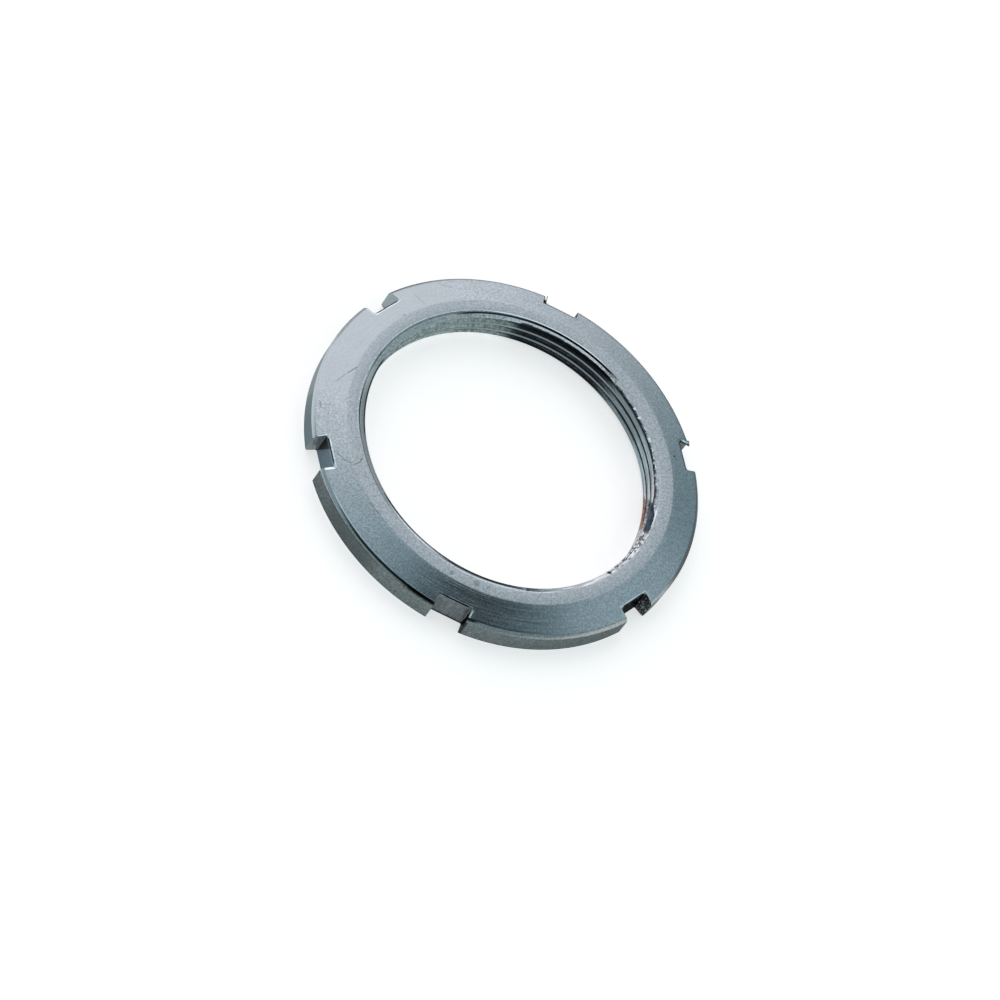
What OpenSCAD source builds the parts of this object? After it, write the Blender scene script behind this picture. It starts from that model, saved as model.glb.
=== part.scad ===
// Slotted lockring: a ring nut turned from one piece of steel. It screws onto a threaded boss and is
// tightened with a hook spanner in the slots of its rim. It lies on its flat back, with the bevelled
// front face up. Millimetres, +Z along the axis of the bore, origin at the centre of the back face.

/* [Body] */
// Outside diameter of the rim
rim_d = 42.4; // [40:0.1:46]
// Height of the ring from the back face to the flat land at the front
thickness = 3.5; // [3:0.1:5]

/* [Bore] */
// Diameter of the bore at the crests of its thread
bore_d = 31.62; // [29:0.01:33.5]
// Width of the shallow recess at the front mouth of the bore, along the radius
recess_w = 0.77; // [0.5:0.01:1.2]
// Depth of the recess at the foot of its wall
recess_depth = 0.145; // [0.08:0.005:0.3]
// Angle of the wall of the recess, from the plane of the land
recess_wall_angle = 40; // [30:1:80]
// Angle at which the floor of the recess falls towards the bore
recess_fall_angle = 10; // [0:1:20]
// Leg of the chamfer at the back end of the bore
back_chamfer = 0.5; // [0.2:0.05:0.8]

/* [Front face] */
// Width of the flat land between the recess and the bevel
land_w = 1.32; // [0.8:0.02:1.8]
// Angle of the bevel, from the plane of the land
bevel_angle = 15; // [8:1:20]
// Width of the edge break between bevel and rim, along the radius
edge_break_w = 0.3; // [0.1:0.05:0.6]
// Angle of the edge break, from the plane of the land
edge_break_angle = 55; // [35:5:65]
// Leg of the chamfer at the foot of the rim
foot_chamfer = 0.15; // [0.05:0.05:0.4]

/* [Spanner slots] */
// Number of slots round the rim
slot_count = 6; // [3:1:8]
// Width of a slot, between its parallel walls
slot_w = 3.66; // [2.5:0.02:5]
// Depth of a slot, from the rim to its flat floor
slot_depth = 1.35; // [0.8:0.05:1.8]

/* [Hidden] */
$fn = 180;
// Cuts run past the faces that they open by this much
over = 1;

// Radii of the section, from the bore outwards
bore_r = bore_d / 2;
recess_r = bore_r + recess_w;
recess_foot_r = recess_r - recess_depth / tan(recess_wall_angle);
land_r = recess_r + land_w;
rim_r = rim_d / 2;
bevel_r = rim_r - edge_break_w;
slot_floor = rim_r - slot_depth;

// Heights of the section, from the land downwards
recess_foot_z = thickness - recess_depth;
bore_top_z = recess_foot_z - (recess_foot_r - bore_r) * tan(recess_fall_angle);
bevel_z = thickness - (bevel_r - land_r) * tan(bevel_angle);
rim_top_z = bevel_z - edge_break_w * tan(edge_break_angle);

// Half section of the ring, drawn from the back of the bore round the outside to its front mouth
module ring_section() {
    polygon([
        [bore_r, back_chamfer],
        [bore_r + back_chamfer, 0],
        [rim_r - foot_chamfer, 0],
        [rim_r, foot_chamfer],
        [rim_r, rim_top_z],
        [bevel_r, bevel_z],
        [land_r, thickness],
        [recess_r, thickness],
        [recess_foot_r, recess_foot_z],
        [bore_r, bore_top_z]
    ]);
}

// Space that a flat-ended cutter clears at the rim, for one slot on the +X side
module slot_cut() {
    translate([slot_floor, -slot_w / 2, -over])
        cube([slot_depth + over, slot_w, thickness + 2 * over]);
}

// Turned ring with its slots milled straight through from front to back
module lockring() {
    color("slategray")
        difference() {
            rotate_extrude() ring_section();
            for (i = [0 : slot_count - 1])
                rotate([0, 0, i * 360 / slot_count]) slot_cut();
        }
}

lockring();
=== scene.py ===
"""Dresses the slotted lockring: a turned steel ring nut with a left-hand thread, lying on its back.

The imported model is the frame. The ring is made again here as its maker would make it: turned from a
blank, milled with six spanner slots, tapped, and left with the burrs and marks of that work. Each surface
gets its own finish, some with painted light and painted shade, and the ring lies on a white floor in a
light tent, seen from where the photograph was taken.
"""

from __future__ import annotations

import logging
import math
import random
from collections.abc import Callable, Iterator
from contextlib import contextmanager
from dataclasses import dataclass
from enum import Enum

import bmesh
import bpy
from mathutils import Matrix, Vector

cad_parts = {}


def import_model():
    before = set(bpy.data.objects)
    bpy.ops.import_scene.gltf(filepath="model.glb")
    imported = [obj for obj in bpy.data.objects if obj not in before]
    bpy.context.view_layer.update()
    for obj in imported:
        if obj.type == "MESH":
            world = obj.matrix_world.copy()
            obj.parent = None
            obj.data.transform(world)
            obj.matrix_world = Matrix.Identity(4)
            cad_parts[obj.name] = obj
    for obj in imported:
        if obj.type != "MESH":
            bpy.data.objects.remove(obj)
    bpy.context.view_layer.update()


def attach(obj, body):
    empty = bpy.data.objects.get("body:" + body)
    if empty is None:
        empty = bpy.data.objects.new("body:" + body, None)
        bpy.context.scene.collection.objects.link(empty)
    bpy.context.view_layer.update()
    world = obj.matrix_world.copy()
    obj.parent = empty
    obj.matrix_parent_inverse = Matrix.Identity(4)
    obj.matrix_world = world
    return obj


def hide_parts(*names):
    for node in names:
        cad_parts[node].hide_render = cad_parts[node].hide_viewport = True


LOG = logging.getLogger("lockring")
MM = 0.001
BORE_R = 15.81
SLOT_COUNT = 6
SLOT_WIDTH = 3.66
SLOT_FLOOR = 19.85
Colour = tuple[float, float, float]


class Pick(Enum):
    """What a selection in edit mode is made of."""

    VERTS = "VERT"
    EDGES = "EDGE"
    FACES = "FACE"


def alone(obj: bpy.types.Object) -> None:
    """Makes an object the only selected one, and the active one."""
    bpy.ops.object.select_all(action="DESELECT")
    obj.select_set(True)
    bpy.context.view_layer.objects.active = obj


@contextmanager
def editing(obj: bpy.types.Object) -> Iterator[None]:
    """Holds an object in edit mode, with nothing selected at the start."""
    alone(obj)
    bpy.ops.object.mode_set(mode="EDIT")
    bpy.ops.mesh.select_all(action="DESELECT")
    yield
    bpy.ops.object.mode_set(mode="OBJECT")


def pick(obj: bpy.types.Object, kind: Pick, wanted: Callable[[Vector, Vector], bool]) -> int:
    """Selects, in edit mode, what passes a test on its middle and its normal.

    Args:
        obj: The object in edit mode.
        kind: Whether vertices, edges or faces are selected.
        wanted: The test, on middle and normal; an edge has no normal.

    Returns:
        How many were selected.
    """
    bpy.ops.mesh.select_mode(type=kind.value)
    bpy.ops.mesh.select_all(action="DESELECT")
    mesh = bmesh.from_edit_mesh(obj.data)
    if kind is Pick.FACES:
        found = [f for f in mesh.faces if wanted(f.calc_center_median(), f.normal)]
    elif kind is Pick.EDGES:
        found = [e for e in mesh.edges if wanted((e.verts[0].co + e.verts[1].co) / 2, Vector())]
    else:
        found = [v for v in mesh.verts if wanted(v.co, v.normal)]
    for item in found:
        item.select_set(True)
    mesh.select_flush_mode()
    bmesh.update_edit_mesh(obj.data)
    return len(found)


def finish_with(obj: bpy.types.Object, kind: str, **settings: object) -> None:
    """Adds a modifier with its settings and applies it.

    Args:
        obj: The object that gets it.
        kind: The modifier's type.
        settings: Its properties.
    """
    alone(obj)
    modifier = obj.modifiers.new(kind.lower(), kind)
    for name, value in settings.items():
        setattr(modifier, name, value)
    bpy.ops.object.modifier_apply(modifier=modifier.name)


def cut_away(obj: bpy.types.Object, cutter: bpy.types.Object) -> None:
    """Cuts the space of a cutter out of an object, and throws the cutter away."""
    finish_with(obj, "BOOLEAN", object=cutter, operation="DIFFERENCE", solver="EXACT")
    bpy.data.objects.remove(cutter)


class Value:
    """A shader socket that reads as a number, so that shader maths is written as plain expressions."""

    def __init__(self, graph: Graph, socket: bpy.types.NodeSocket) -> None:
        """Keeps the socket and the graph that it is in."""
        self.graph = graph
        self.socket = socket

    def __add__(self, other: Number) -> Value:
        """Adds."""
        return self.graph.math("ADD", self, other)

    def __radd__(self, other: Number) -> Value:
        """Adds, from the right."""
        return self.graph.math("ADD", other, self)

    def __sub__(self, other: Number) -> Value:
        """Subtracts."""
        return self.graph.math("SUBTRACT", self, other)

    def __rsub__(self, other: Number) -> Value:
        """Subtracts, from the right."""
        return self.graph.math("SUBTRACT", other, self)

    def __mul__(self, other: Number) -> Value:
        """Multiplies."""
        return self.graph.math("MULTIPLY", self, other)

    def __rmul__(self, other: Number) -> Value:
        """Multiplies, from the right."""
        return self.graph.math("MULTIPLY", other, self)

    def __truediv__(self, other: Number) -> Value:
        """Divides."""
        return self.graph.math("DIVIDE", self, other)

    def __abs__(self) -> Value:
        """Drops the sign."""
        return self.graph.math("ABSOLUTE", self)

    def between(self, low: float, high: float) -> Value:
        """Rises smoothly from 0 at low to 1 at high, or falls where low is the larger."""
        return self.graph.smooth(self, low, high)


Number = Value | float


class Graph:
    """The node tree of a material or a world, written from the sockets up."""

    def __init__(self, owner: bpy.types.Material | bpy.types.World) -> None:
        """Empties the owner's tree."""
        owner.use_nodes = True
        self.tree = owner.node_tree
        self.tree.nodes.clear()

    def node(self, kind: str, settings: dict | None = None, sockets: dict | None = None) -> bpy.types.Node:
        """Adds a node of any kind.

        Args:
            kind: The node's type.
            settings: Its properties, which are set first.
            sockets: A value or a link for each input, by name or by number.

        Returns:
            The node.
        """
        made = self.tree.nodes.new(kind)
        for name, value in (settings or {}).items():
            setattr(made, name, value)
        for name, value in (sockets or {}).items():
            if isinstance(value, Value):
                self.tree.links.new(value.socket, made.inputs[name])
            else:
                made.inputs[name].default_value = value
        return made

    def read(self, made: bpy.types.Node, output: str | int = 0) -> Value:
        """Reads an output of a node."""
        return Value(self, made.outputs[output])

    def math(self, operation: str, *terms: Number) -> Value:
        """Adds a Math node on up to three terms."""
        return self.read(self.node("ShaderNodeMath", {"operation": operation}, dict(enumerate(terms))))

    def vector(self, operation: str, *terms: Value | tuple, output: str | int = 0) -> Value:
        """Adds a Vector Math node on up to three vectors."""
        made = self.node("ShaderNodeVectorMath", {"operation": operation}, dict(enumerate(terms)))
        return self.read(made, output)

    def smooth(self, value: Value, low: float, high: float) -> Value:
        """Maps low to 0 and high to 1 with soft ends."""
        if low > high:
            return 1.0 - self.smooth(value, high, low)
        sockets = {"Value": value, "From Min": low, "From Max": high}
        return self.read(self.node("ShaderNodeMapRange", {"interpolation_type": "SMOOTHSTEP"}, sockets))

    def blend(self, factor: Number, first: Value | Colour, second: Value | Colour) -> Value:
        """Mixes two colours.

        Args:
            factor: How much of the second is taken.
            first: The colour at factor 0.
            second: The colour at factor 1.

        Returns:
            The mixed colour.
        """
        ends = [end if isinstance(end, Value) else (*end, 1.0) for end in (first, second)]
        sockets = {0: factor, 6: ends[0], 7: ends[1]}
        return self.read(self.node("ShaderNodeMix", {"data_type": "RGBA"}, sockets), 2)

    def noise(self, place: Value, scale: float, detail: float = 2.0, roughness: float = 0.5) -> Value:
        """Adds fractal noise over a place in mm, from 0 to 1.

        Args:
            place: The vector that it is read at.
            scale: Grains for each mm.
            detail: How many finer layers are added.
            roughness: How strong those are.

        Returns:
            The noise.
        """
        sockets = {"Vector": place, "Scale": scale, "Detail": detail, "Roughness": roughness}
        return self.read(self.node("ShaderNodeTexNoise", {"noise_dimensions": "3D"}, sockets))


class RingSpace:
    """Where a point of the ring is: its place in mm, its radius, its height and its bearing."""

    def __init__(self, graph: Graph) -> None:
        """Reads Object coordinates and turns them into the measures of a lathe."""
        self.graph = graph
        place = graph.read(graph.node("ShaderNodeTexCoord"), "Object")
        self.place = graph.vector("SCALE", place)
        self.place.socket.node.inputs["Scale"].default_value = 1.0 / MM
        split = graph.node("ShaderNodeSeparateXYZ", None, {0: self.place})
        self.x, self.y, self.height = (graph.read(split, axis) for axis in range(3))
        self.flat = graph.vector("MULTIPLY", self.place, (1.0, 1.0, 0.0))
        self.radius = graph.vector("LENGTH", self.flat, output="Value")

    def bearing(self) -> Value:
        """Gives the angle round the axis in degrees, from -180 to 180."""
        return self.graph.math("ARCTAN2", self.y, self.x) * math.degrees(1.0)

    def sector(self, middle: float, half: float, soft: float) -> Value:
        """Gives 1 within a sector and 0 outside it.

        Args:
            middle: The bearing of its middle in degrees, from -180 to 180.
            half: Half its width in degrees.
            soft: Over how many degrees it fades.

        Returns:
            The mask.
        """
        off = abs(self.graph.math("WRAP", self.bearing() - middle, 180.0, -180.0))
        return off.between(half + soft, half)

    def in_slot(self, count: int) -> tuple[Value, Value]:
        """Gives the place against the nearest slot: how far out along its middle, and how far aside."""
        step = 360.0 / count
        turned = self.graph.math("WRAP", self.bearing(), step / 2, -step / 2) / math.degrees(1.0)
        out = self.radius * self.graph.math("COSINE", turned)
        return out, abs(self.radius * self.graph.math("SINE", turned))

    def lap(self, across: float, along: float, upright: bool = False) -> Value:
        """Gives a place whose noise is drawn out into lines round the axis.

        Args:
            across: Lines for each mm of radius, or of height.
            along: Changes for each radian on the way round.
            upright: Whether the lines lie above each other, on an upright wall.

        Returns:
            The place to read noise at.
        """
        lines = (self.height if upright else self.radius) * across
        sockets = {0: lines, 1: self.x / self.radius * along, 2: self.y / self.radius * along}
        return self.graph.read(self.graph.node("ShaderNodeCombineXYZ", None, sockets))


def flat_place(bearing: float, radius: float) -> Vector:
    """Gives a flat place from a bearing in degrees and a radius."""
    angle = math.radians(bearing)
    return Vector((radius * math.cos(angle), radius * math.sin(angle), 0.0))


@dataclass(frozen=True)
class Mark:
    """A small mark on a surface, that darkens it or, below 0, brightens it; most of the brightening ones are
    painted highlights.
    """

    strength: float

    def mask(self, graph: Graph, space: RingSpace) -> Value:
        """Draws the mark: 1 on it and 0 elsewhere."""
        raise NotImplementedError


@dataclass(frozen=True)
class Scratch(Mark):
    """A hairline from one place to another, each a bearing in degrees and a radius in mm."""

    start: tuple[float, float]
    end: tuple[float, float]
    width: float = 0.07
    waver: float = 0.25

    def mask(self, graph: Graph, space: RingSpace) -> Value:
        """Draws the line, a little crooked and thin at both ends."""
        first, last = flat_place(*self.start), flat_place(*self.end)
        way = (last - first).normalized()
        side = Vector((-way.y, way.x, 0.0))
        length = (last - first).length
        along = graph.vector("DOT_PRODUCT", space.flat, tuple(way), output="Value") - first.dot(way)
        across = graph.vector("DOT_PRODUCT", space.flat, tuple(side), output="Value") - first.dot(side)
        across = abs(across + (graph.noise(space.flat, 1.1, 2.0) - 0.5) * self.waver)
        taper = length * 0.15
        inside = along.between(0.0, taper) * along.between(length, length - taper)
        return across.between(self.width, self.width * 0.3) * inside


@dataclass(frozen=True)
class Speck(Mark):
    """A spot: a bearing in degrees, a radius and a size in mm."""

    bearing: float
    radius: float
    size: float = 0.12

    def mask(self, graph: Graph, space: RingSpace) -> Value:
        """Draws the spot."""
        middle = tuple(flat_place(self.bearing, self.radius))
        gap = graph.vector("DISTANCE", space.flat, middle, output="Value")
        return gap.between(self.size, self.size * 0.4)


@dataclass(frozen=True)
class Band(Mark):
    """A line round the axis, between two radii in mm and two bearings in degrees."""

    inner: float
    outer: float
    start: float
    end: float
    fade: float = 5.0
    soft: float = 0.03
    waver: float = 0.0
    drift: float = 0.0
    broken: float = 0.0

    def mask(self, graph: Graph, space: RingSpace) -> Value:
        """Draws the line, which may waver, drift outwards and be broken, below 0 in the other places."""
        half = (self.end - self.start) / 2
        off = graph.math("WRAP", space.bearing() - (self.start + half), 180.0, -180.0)
        across = space.radius - off * self.drift
        if self.waver:
            across = across + (graph.noise(space.lap(0.0, 22.0, True), 1.0, 3.0) - 0.5) * self.waver
        inside = across.between(self.inner - self.soft, self.inner + self.soft)
        inside = inside * across.between(self.outer + self.soft, self.outer - self.soft)
        if self.broken:
            side = math.copysign(0.05, self.broken)
            gaps = graph.noise(space.lap(2.5, 55.0), 1.0, 2.0)
            inside = inside * gaps.between(abs(self.broken) - side, abs(self.broken) + side)
        return inside * abs(off).between(half + self.fade, half)


@dataclass(frozen=True)
class Stretch:
    """Part of the way round: the bearing of its middle, half its width and its fade in degrees."""

    middle: float
    half: float
    soft: float
    share: float = 1.0

    def mask(self, space: RingSpace) -> Value:
        """Gives the share within the stretch and 0 outside it."""
        return space.sector(self.middle, self.half, self.soft) * self.share


@dataclass(frozen=True)
class Mottle:
    """Blotches: how many for each mm, the noise at which they fade in, and their finer layers."""

    scale: float
    low: float
    high: float
    detail: float = 2.0
    roughness: float = 0.5

    def mask(self, space: RingSpace) -> Value:
        """Gives 1 on the blotches and 0 between them."""
        noise = space.graph.noise(space.place, self.scale, self.detail, self.roughness)
        return noise.between(self.low, self.high)


@dataclass(frozen=True)
class Streaks:
    """Lines round the axis: how many for each mm, their changes along, the noise at which they fade in."""

    across: float
    along: float
    low: float
    high: float
    detail: float = 2.0
    upright: bool = False

    def mask(self, space: RingSpace) -> Value:
        """Gives 1 on the lines and 0 between them."""
        place = space.lap(self.across, self.along, self.upright)
        return space.graph.noise(place, 1.0, self.detail).between(self.low, self.high)


@dataclass(frozen=True)
class Steel:
    """Bare steel. Each finish of the ring is one of these, with its own marks."""

    name: str
    colour: Colour
    roughness: float
    anisotropy: float = 0.0
    grazing: float = 1.0
    marks: tuple[Mark, ...] = ()
    dark: float = 0.1
    bright: float = 1.9
    grain: Mottle = Mottle(4.5, 0.32, 0.68, 2.0, 0.8)
    grain_depth: float = 0.008

    def make(self) -> bpy.types.Material:
        """Builds the material."""
        material = bpy.data.materials.new(self.name)
        graph = Graph(material)
        space = RingSpace(graph)
        sockets = {
            "Metallic": 1.0,
            "Specular Tint": (self.grazing, self.grazing, self.grazing, 1.0),
            "Anisotropic": self.anisotropy,
            "Anisotropic Rotation": 0.25,
            "Base Color": self.marked(graph, space, self.tint(graph, space)),
            "Roughness": self.gloss(graph, space),
            "Normal": self.relief(graph, space),
        }
        shader = graph.node("ShaderNodeBsdfPrincipled", None, sockets)
        graph.node("ShaderNodeOutputMaterial", None, {"Surface": graph.read(shader)})
        return material

    def shade(self, level: float) -> Colour:
        """Gives the colour, lighter or darker by a factor."""
        return tuple(c * level for c in self.colour)

    def tint(self, graph: Graph, space: RingSpace) -> Value:
        """Gives the colour, clouded and finely grained."""
        cloud = graph.noise(space.place, 0.4, 3.0)
        cloudy = graph.blend(cloud, self.shade(0.92), self.shade(1.08))
        grain = self.grain.mask(space) - 0.5
        return graph.blend(grain * self.coarseness(space) * 0.8 + 0.4, cloudy, self.shade(0.58))

    def coarseness(self, space: RingSpace) -> Number:
        """Gives the strength of the grain, from 0 to 1."""
        return 1.0

    def marked(self, graph: Graph, space: RingSpace, colour: Value) -> Value:
        """Lays the marks over the colour; most of those that brighten it are painted highlights."""
        for mark in self.marks:
            end = self.shade(self.dark if mark.strength > 0.0 else self.bright)
            colour = graph.blend(mark.mask(graph, space) * abs(mark.strength), colour, end)
        return colour

    def gloss(self, graph: Graph, space: RingSpace) -> Value:
        """Gives the roughness, a little uneven."""
        return self.roughness + (graph.noise(space.place, 1.2, 3.0) - 0.5) * 0.1

    def relief(self, graph: Graph, space: RingSpace) -> Value:
        """Gives the normal, with fine grain."""
        return self.bumped(graph, graph.noise(space.place, 5.0, 2.0), self.grain_depth)

    @staticmethod
    def bumped(graph: Graph, height: Value, depth: float) -> Value:
        """Turns a height from 0 to 1 into a normal, for a depth in mm."""
        sockets = {"Distance": depth * MM, "Strength": 1.0, "Height": height}
        return graph.read(graph.node("ShaderNodeBump", None, sockets))


@dataclass(frozen=True)
class TurnedSteel(Steel):
    """The front face and the back face, left from the lathe with rings of fine tool lines, and with a
    painted highlight and painted shade along edges.
    """

    slot_count: int = SLOT_COUNT
    slot_floor: float = SLOT_FLOOR
    slot_half: float = SLOT_WIDTH / 2
    tool_depth: float = 0.04
    smooth: Stretch = Stretch(128.0, 24.0, 14.0)
    coarse_lines: Streaks = Streaks(4.4, 1.5, 0.35, 0.65, 1.0)
    fine_lines: Streaks = Streaks(9.0, 5.0, 0.35, 0.65, 1.0)
    chatter: Stretch = Stretch(-112.0, 12.0, 24.0, 0.9)
    # These three say where the painted highlight along the slots' edges breaks up and falls, and where
    # painted shade falls on the far side.
    wear_and_glint: Mottle = Mottle(0.8, 0.25, 0.6)
    near_painted_highlight: Stretch = Stretch(-145.0, 95.0, 8.0, 0.75)
    distant_painted_shade: Stretch = Stretch(35.0, 70.0, 10.0, 0.6)

    def coarseness(self, space: RingSpace) -> Number:
        """Gives the strength of the grain, which one stretch of the bevel hardly has."""
        on_bevel = space.radius.between(17.85, 18.0)
        return 1.0 - self.smooth.mask(space) * (on_bevel * 0.35 + 0.4)

    def lines(self, space: RingSpace) -> Value:
        """Gives the tool lines, coarse and fine, deepest where the tool chattered."""
        both = self.coarse_lines.mask(space) * 0.45 + self.fine_lines.mask(space) * 0.55
        return both * (0.1 + self.chatter.mask(space) * space.radius.between(17.7, 18.1))

    def lip(self, space: RingSpace) -> Value:
        """Draws a line along the front edge of each slot."""
        out, side = space.in_slot(self.slot_count)
        floor = abs(out - (self.slot_floor - 0.22)).between(0.11, 0.03)
        floor = floor * side.between(self.slot_half + 0.2, self.slot_half)
        wall = abs(side - (self.slot_half + 0.14)).between(0.1, 0.03)
        wall = wall * out.between(self.slot_floor - 0.2, self.slot_floor)
        return space.graph.math("MAXIMUM", floor, wall * 0.5)

    def tint(self, graph: Graph, space: RingSpace) -> Value:
        """Gives the colour, with tool lines, a painted highlight along the slots' edges on the near side,
        and painted shade along the edges on the far side.
        """
        colour = Steel.tint(self, graph, space)
        colour = graph.blend(self.lines(space) * 0.75, colour, self.shade(0.4))
        # Painted highlight along the slots' front edges on the near side; painted shade along them and the
        # rim's edge on the far side.
        lip = self.lip(space)
        near = lip * self.near_painted_highlight.mask(space) * self.wear_and_glint.mask(space)
        colour = graph.blend(near, colour, self.shade(1.7))
        rim_edge = space.radius.between(20.72, 20.8)
        far = graph.math("MAXIMUM", lip, rim_edge) * self.distant_painted_shade.mask(space)
        return graph.blend(far, colour, self.shade(0.25))

    def relief(self, graph: Graph, space: RingSpace) -> Value:
        """Gives the normal, with tool lines, grain and marks."""
        grain = graph.noise(space.place, 5.0, 2.0, 0.7) * self.coarseness(space)
        height = self.lines(space) * 0.22 + grain * 0.25
        for mark in self.marks:
            if not isinstance(mark, Band):
                height = height - mark.mask(graph, space) * 0.3
        return self.bumped(graph, height, self.tool_depth)


@dataclass(frozen=True)
class RimSteel(Steel):
    """The rim, dark all round, partly as a painted dark reflection, finely mottled, with painted light on
    one side and painted shade on two stretches.
    """

    # Painted light and painted shade by bearing, besides the rim's own mottle.
    pale: Colour = (0.235, 0.33, 0.37)
    light: Colour = (0.42, 0.47, 0.50)
    mottle: Mottle = Mottle(4.0, 0.3, 0.7, 3.0, 0.75)
    painted_pale_side: Stretch = Stretch(160.0, 16.0, 10.0, 0.85)
    painted_bright_side: Stretch = Stretch(149.0, 8.0, 5.0, 0.8)
    mottled: Stretch = Stretch(155.0, 22.0, 10.0, 0.3)
    painted_dimming: Stretch = Stretch(180.0, 11.0, 8.0, 0.2)
    painted_shade_side: Stretch = Stretch(-155.0, 6.0, 8.0, 0.6)
    darkened: Stretch = Stretch(-156.0, 11.0, 4.0)

    def tint(self, graph: Graph, space: RingSpace) -> Value:
        """Gives the colour, mottled, with painted light on one side, painted shade on two stretches, a dark
        line under the edge break on one side, and darker towards the foot.
        """
        mottle = self.mottle.mask(space)
        colour = graph.blend(mottle, self.shade(0.62), self.shade(1.38))
        # Painted light on one side.
        colour = graph.blend(self.painted_pale_side.mask(space), colour, self.pale)
        colour = graph.blend(self.painted_bright_side.mask(space), colour, self.light)
        colour = graph.blend(self.mottled.mask(space) * mottle, colour, self.shade(0.8))
        # Painted shade on two stretches.
        colour = graph.blend(self.painted_dimming.mask(space), colour, self.shade(0.3))
        colour = graph.blend(self.painted_shade_side.mask(space), colour, self.shade(0.4))
        line = space.height.between(2.16, 2.22) * self.darkened.mask(space)
        line = graph.math("MAXIMUM", line, space.height.between(0.3, 0.12))
        return graph.blend(line * 0.75, colour, self.shade(0.15))


@dataclass(frozen=True)
class MilledSteel(Steel):
    """The floors of the spanner slots, with strokes of the cutter, one slot of them black, and painted light
    and painted shade on one floor.
    """

    black: Stretch = Stretch(-60.0, 7.0, 3.0)
    slot_half: float = SLOT_WIDTH / 2
    shade_slope: float = 0.545
    # Painted light, and on one corner painted shade, on one floor.
    pale: Colour = (0.265, 0.34, 0.40)
    painted_floor: Stretch = Stretch(180.0, 8.0, 2.0)
    streaks: Streaks = Streaks(5.0, 60.0, 0.3, 0.7)
    mottle: Mottle = Mottle(3.0, 0.3, 0.7, 3.0, 0.7)
    specks: Mottle = Mottle(4.5, 0.55, 0.68, 2.0, 0.7)
    stroke_depth: float = 0.01

    def milled(self, graph: Graph, space: RingSpace) -> Value:
        """Gives the colour that the cutter left, streaked, darker towards the foot and black in some slots.
        """
        mixed = self.streaks.mask(space) * 0.35 + self.mottle.mask(space) * 0.65
        colour = graph.blend(mixed, self.shade(0.65), self.shade(1.35))
        colour = graph.blend(space.height.between(0.4, 0.15) * 0.85, colour, self.shade(0.1))
        darkened = graph.blend(self.specks.mask(space), self.shade(0.17), self.shade(1.8))
        return graph.blend(self.black.mask(space), colour, darkened)

    def tint(self, graph: Graph, space: RingSpace) -> Value:
        """Gives the colour, with a corner of one floor in the painted shade of its wall and painted light on
        the rest of that floor.
        """
        colour = self.milled(graph, space)
        # Painted light on one floor, and on a corner of it the painted shade of its wall.
        there = self.painted_floor.mask(space)
        shaded = (space.height * self.shade_slope + space.y - self.slot_half).between(-0.05, 0.05)
        colour = graph.blend(there * (1.0 - shaded) * 0.7, colour, self.pale)
        return graph.blend(there * shaded * 0.85, colour, self.shade(0.62))

    def relief(self, graph: Graph, space: RingSpace) -> Value:
        """Gives the normal, with strokes that run up and down."""
        return self.bumped(graph, graph.noise(space.lap(6.0, 70.0), 1.0, 2.0), self.stroke_depth)


@dataclass(frozen=True)
class WallSteel(MilledSteel):
    """The walls of the spanner slots, black on the near side, with painted light on some walls and a painted
    dark reflection on one.
    """

    black: Stretch = Stretch(-90.0, 42.0, 3.0)
    # Colours and stretches of painted light on the walls.
    pale: Colour = (0.40, 0.48, 0.50)
    painted_light_walls: tuple[Stretch, ...] = (Stretch(115.0, 6.0, 2.0, 0.65), Stretch(65.0, 5.0, 2.0, 0.65))
    lit: Colour = (0.46, 0.51, 0.52)
    lit_wall: Stretch = Stretch(176.0, 8.0, 2.0)
    slot_count: int = SLOT_COUNT
    slot_floor: float = SLOT_FLOOR
    slot_depth: float = 1.35
    slot_height: float = 2.7

    def tint(self, graph: Graph, space: RingSpace) -> Value:
        """Gives the colour, with painted light on two walls and on the lower half of another, whose upper
        half is a painted dark reflection crossed by strokes.
        """
        colour = self.milled(graph, space)
        # Painted light on two walls.
        for wall in self.painted_light_walls:
            colour = graph.blend(wall.mask(space), colour, self.pale)
        out, _ = space.in_slot(self.slot_count)
        slope = (out - self.slot_floor) / self.slot_depth - space.height * 0.6 / self.slot_height
        drawn_out = graph.vector("MULTIPLY", space.place, (3.0, 0.5, 1.0))
        strokes = graph.noise(drawn_out, 1.3, 2.0).between(0.5, 0.62)
        # Painted light on the lower half of one wall, and a painted dark reflection on its upper half,
        # crossed by strokes.
        there = self.lit_wall.mask(space) * out.between(self.slot_floor + 0.1, self.slot_floor + 0.16)
        colour = graph.blend(there * 0.8, colour, self.lit)
        crossed = graph.blend(strokes, self.shade(1.5), self.shade(2.6))
        return graph.blend(slope.between(0.38, 0.3) * there * 0.9, colour, crossed)

    def gloss(self, graph: Graph, space: RingSpace) -> Value:
        """Gives the roughness, matt on the wall that is crossed by strokes."""
        return Steel.gloss(self, graph, space) + self.lit_wall.mask(space) * 0.3


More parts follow.
